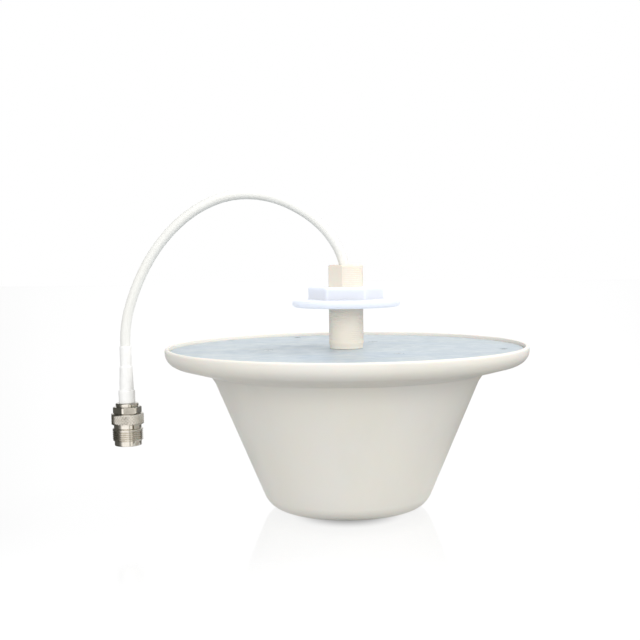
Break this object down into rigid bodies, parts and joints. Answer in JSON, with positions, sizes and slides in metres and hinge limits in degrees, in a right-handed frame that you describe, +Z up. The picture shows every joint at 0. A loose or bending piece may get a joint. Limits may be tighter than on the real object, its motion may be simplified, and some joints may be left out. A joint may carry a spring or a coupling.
{
  "type": "indoor ceiling dome antenna",
  "caption": "Tapered plastic dome antenna with a metal base plate in its rim, a hollow threaded mounting stud with a flange nut, and a flexible coaxial pigtail ending in a threaded jack.",
  "frame": {"origin": "centre of the dome's flat bottom, on the axis of the stud", "axes": "+Z up the stud's axis, from the dome's bottom towards the ceiling; the pigtail arches over towards -X"},
  "size_m": [0.2157, 0.186, 0.1643],
  "materials": {
    "dome_abs": "satin moulded",
    "stud_abs": "satin moulded",
    "nut_nylon": "translucent moulded",
    "aluminium": "rolled sheet",
    "nickel": "bright plated",
    "brass": "turned",
    "black_steel": "blackened",
    "steel": "zinc plated",
    "tinplate": "rolled sheet",
    "solder": "dull",
    "copper": "drawn wire",
    "cable_pvc": "satin extruded",
    "shrink_tube": "satin",
    "ptfe": "waxy",
    "nylon": "moulded"
  },
  "bodies": {
    "antenna": {"braid_solder_ring": "solder", "coax_conductor": "copper", "coax_dielectric": "ptfe", "coax_feed": "cable_pvc", "cover_screw_1": "black_steel", "cover_screw_2": "black_steel", "cover_screw_3": "black_steel", "dome_shell": "dome_abs", "feed_bush": "ptfe", "flange_screw_1": "steel", "flange_screw_2": "steel", "flange_screw_3": "steel", "ground_plane": "aluminium", "radiator_cone": "tinplate", "radiator_drum": "tinplate", "shorting_leg_1": "tinplate", "shorting_leg_2": "tinplate", "shorting_leg_3": "tinplate", "standoff_1": "nylon", "standoff_2": "nylon", "standoff_3": "nylon", "standoff_screw_1": "steel", "standoff_screw_2": "steel", "standoff_screw_3": "steel", "stud_lock_nut": "brass", "stud_washer": "brass", "threaded_stud": "stud_abs", "tip_solder_bead": "solder"},
    "nut_flange": {"nut_flange": "nut_nylon"},
    "nut_hex": {"nut_hex": "nut_nylon"},
    "cable_link_01": {"cable_link_01": "cable_pvc"},
    "cable_link_02": {"cable_link_02": "cable_pvc"},
    "cable_link_03": {"cable_link_03": "cable_pvc"},
    "cable_link_04": {"cable_link_04": "cable_pvc"},
    "cable_link_05": {"cable_link_05": "cable_pvc"},
    "cable_link_06": {"cable_link_06": "cable_pvc"},
    "cable_link_07": {"cable_link_07": "cable_pvc"},
    "cable_link_08": {"cable_link_08": "cable_pvc"},
    "cable_link_09": {"cable_link_09": "cable_pvc"},
    "cable_link_10": {"cable_link_10": "cable_pvc"},
    "cable_end": {"coax_tail": "cable_pvc", "crimp_ferrule": "brass", "shrink_sleeve_long": "shrink_tube", "shrink_sleeve_short": "shrink_tube", "jack_rear_bush": "nickel", "jack_clamp_nut": "nickel", "jack_body": "nickel", "jack_insulator": "ptfe", "jack_contact": "brass"}
  },
  "joints": [
    {"name": "nut_travel", "type": "slide", "parent": "antenna", "child": "nut_flange", "axis": [0, 0, 1], "range_m": [-0.02125, 0.01105]},
    {"name": "nut_turn", "type": "hinge", "parent": "nut_flange", "child": "nut_hex", "pos_m": [0, 0, 0.1106], "axis": [0, 0, 1], "range_deg": [-7632, 3960]},
    {"name": "cable_swing", "type": "hinge", "parent": "antenna", "child": "cable_link_01", "pos_m": [0, 0, 0.1175], "axis": [0, 0, 1], "range_deg": [-90, 90]},
    {"name": "cable_bend_01", "type": "hinge", "parent": "cable_link_01", "child": "cable_link_02", "pos_m": [-0.00457, 0, 0.13499], "axis": [0, 1, 0], "range_deg": [-2.5, 25.7]},
    {"name": "cable_bend_02", "type": "hinge", "parent": "cable_link_02", "child": "cable_link_03", "pos_m": [-0.01633, 0, 0.14884], "axis": [0, 1, 0], "range_deg": [-1.9, 19.37]},
    {"name": "cable_bend_03", "type": "hinge", "parent": "cable_link_03", "child": "cable_link_04", "pos_m": [-0.03206, 0, 0.15803], "axis": [0, 1, 0], "range_deg": [-1.83, 18.67]},
    {"name": "cable_bend_04", "type": "hinge", "parent": "cable_link_04", "child": "cable_link_05", "pos_m": [-0.04987, 0, 0.1617], "axis": [0, 1, 0], "range_deg": [-2.15, 21.87]},
    {"name": "cable_bend_05", "type": "hinge", "parent": "cable_link_05", "child": "cable_link_06", "pos_m": [-0.06774, 0, 0.15848], "axis": [0, 1, 0], "range_deg": [-2, 20.32]},
    {"name": "cable_bend_06", "type": "hinge", "parent": "cable_link_06", "child": "cable_link_07", "pos_m": [-0.08343, 0, 0.14924], "axis": [0, 1, 0], "range_deg": [-1.54, 15.67]},
    {"name": "cable_bend_07", "type": "hinge", "parent": "cable_link_07", "child": "cable_link_08", "pos_m": [-0.09606, 0, 0.13609], "axis": [0, 1, 0], "range_deg": [-1.23, 12.47]},
    {"name": "cable_bend_08", "type": "hinge", "parent": "cable_link_08", "child": "cable_link_09", "pos_m": [-0.10557, 0, 0.12051], "axis": [0, 1, 0], "range_deg": [-1.04, 10.47]},
    {"name": "cable_bend_09", "type": "hinge", "parent": "cable_link_09", "child": "cable_link_10", "pos_m": [-0.1121, 0, 0.10346], "axis": [0, 1, 0], "range_deg": [-1.3, 13.17]},
    {"name": "cable_bend_10", "type": "hinge", "parent": "cable_link_10", "child": "cable_end", "pos_m": [-0.11457, 0, 0.08542], "axis": [0, 1, 0], "range_deg": [-0.83, 8.32]}
  ],
  "couplings": [
    {"joint": "nut_travel", "follows": "nut_turn", "m_per_rad": 0.00015915},
    {"joint": "cable_bend_02", "follows": "cable_bend_01", "ratio": 0.75292},
    {"joint": "cable_bend_03", "follows": "cable_bend_01", "ratio": 0.72568},
    {"joint": "cable_bend_04", "follows": "cable_bend_01", "ratio": 0.8502},
    {"joint": "cable_bend_05", "follows": "cable_bend_01", "ratio": 0.78988},
    {"joint": "cable_bend_06", "follows": "cable_bend_01", "ratio": 0.60895},
    {"joint": "cable_bend_07", "follows": "cable_bend_01", "ratio": 0.48444},
    {"joint": "cable_bend_08", "follows": "cable_bend_01", "ratio": 0.40662},
    {"joint": "cable_bend_09", "follows": "cable_bend_01", "ratio": 0.51167},
    {"joint": "cable_bend_10", "follows": "cable_bend_01", "ratio": 0.32296}
  ]
}
